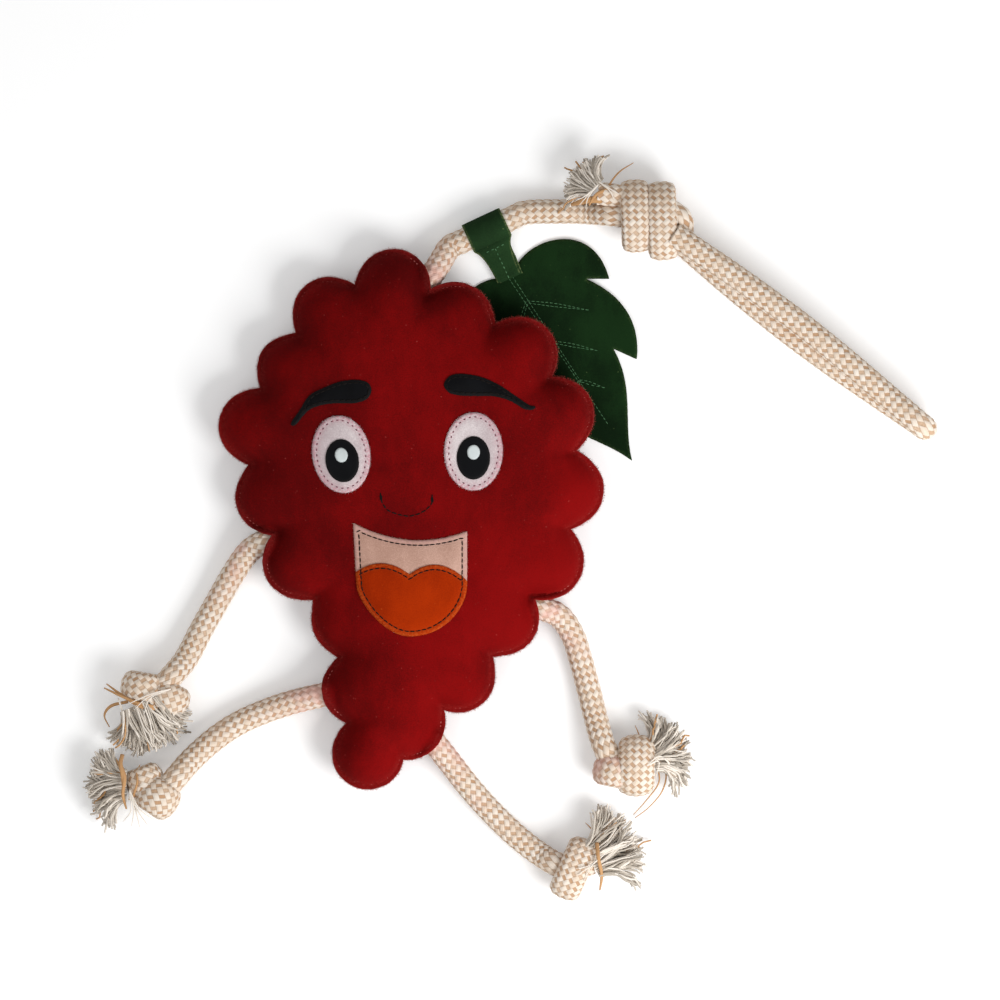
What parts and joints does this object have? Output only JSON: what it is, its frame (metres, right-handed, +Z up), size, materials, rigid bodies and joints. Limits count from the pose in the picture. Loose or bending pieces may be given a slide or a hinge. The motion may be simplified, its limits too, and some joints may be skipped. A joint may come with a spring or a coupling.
{
  "type": "stuffed stable toy",
  "caption": "Flat stuffed suede bunch of grapes with a sewn face, knotted rope limbs, a suede leaf and a rope loop to hang it up for a horse to play with.",
  "frame": {"origin": "on the flat of the back panel that lies on the floor, under the middle of the bunch", "axes": "+Z up out of the face, +Y towards the crown where the hanger is sewn in, +X to the viewer's right"},
  "size_m": [0.5356, 0.4728, 0.0515],
  "materials": {
    "red_suede": "napped suede",
    "green_suede": "napped suede",
    "white_suede": "napped suede",
    "black_leather": "fine-grained leather",
    "cream_suede": "napped suede",
    "orange_suede": "napped suede",
    "cotton_rope": "braided cotton",
    "loose_yarn": "frayed cotton yarn",
    "wadding": "soft filling"
  },
  "bodies": {
    "grapes": {"front_panel": "red_suede", "back_panel": "red_suede", "stuffing": "wadding", "left_eye_white": "white_suede", "right_eye_white": "white_suede", "left_pupil": "black_leather", "right_pupil": "black_leather", "left_glint": "white_suede", "right_glint": "white_suede", "left_brow": "black_leather", "right_brow": "black_leather", "mouth_patch": "cream_suede", "tongue_patch": "orange_suede"},
    "left_arm": {"left_arm_rope": "cotton_rope", "left_arm_knot": "cotton_rope", "left_arm_frayed_end": "loose_yarn"},
    "right_arm": {"right_arm_rope": "cotton_rope", "right_arm_knot": "cotton_rope", "right_arm_frayed_end": "loose_yarn"},
    "left_leg": {"left_leg_rope": "cotton_rope", "left_leg_knot": "cotton_rope", "left_leg_frayed_end": "loose_yarn"},
    "right_leg": {"right_leg_rope": "cotton_rope", "right_leg_knot": "cotton_rope", "right_leg_frayed_end": "loose_yarn"},
    "hanger": {"hanger_rope": "cotton_rope", "hanger_knot": "cotton_rope", "hanger_frayed_end": "loose_yarn"},
    "loop": {"hanging_loop": "cotton_rope"},
    "leaf": {"leaf_strap": "green_suede", "leaf_blade": "green_suede"}
  },
  "joints": [
    {"name": "left_arm_swing", "type": "hinge", "parent": "grapes", "child": "left_arm", "pos_m": [-0.0825, -0.0244, 0.019], "axis": [0, 0, 1], "range_deg": [-22, 1]},
    {"name": "right_arm_swing", "type": "hinge", "parent": "grapes", "child": "right_arm", "pos_m": [0.0845, -0.0665, 0.019], "axis": [0, 0, 1], "range_deg": [-3, 18]},
    {"name": "left_leg_swing", "type": "hinge", "parent": "grapes", "child": "left_leg", "pos_m": [-0.0435, -0.1208, 0.019], "axis": [0, 0, 1], "range_deg": [-1, 24]},
    {"name": "right_leg_swing", "type": "hinge", "parent": "grapes", "child": "right_leg", "pos_m": [0.0195, -0.149, 0.019], "axis": [0, 0, 1], "range_deg": [-24, 1]},
    {"name": "hanger_swing", "type": "hinge", "parent": "grapes", "child": "hanger", "pos_m": [0.017, 0.136, 0.019], "axis": [0, 0, 1], "range_deg": [-2, 12]},
    {"name": "loop_swing", "type": "hinge", "parent": "hanger", "child": "loop", "pos_m": [0.1705, 0.166, 0.019], "axis": [0, 0, 1], "range_deg": [-12, 12]},
    {"name": "leaf_slide", "type": "slide", "parent": "hanger", "child": "leaf", "axis": [0.9063, 0.4226, 0], "range_m": [-0.004, 0.006]}
  ]
}
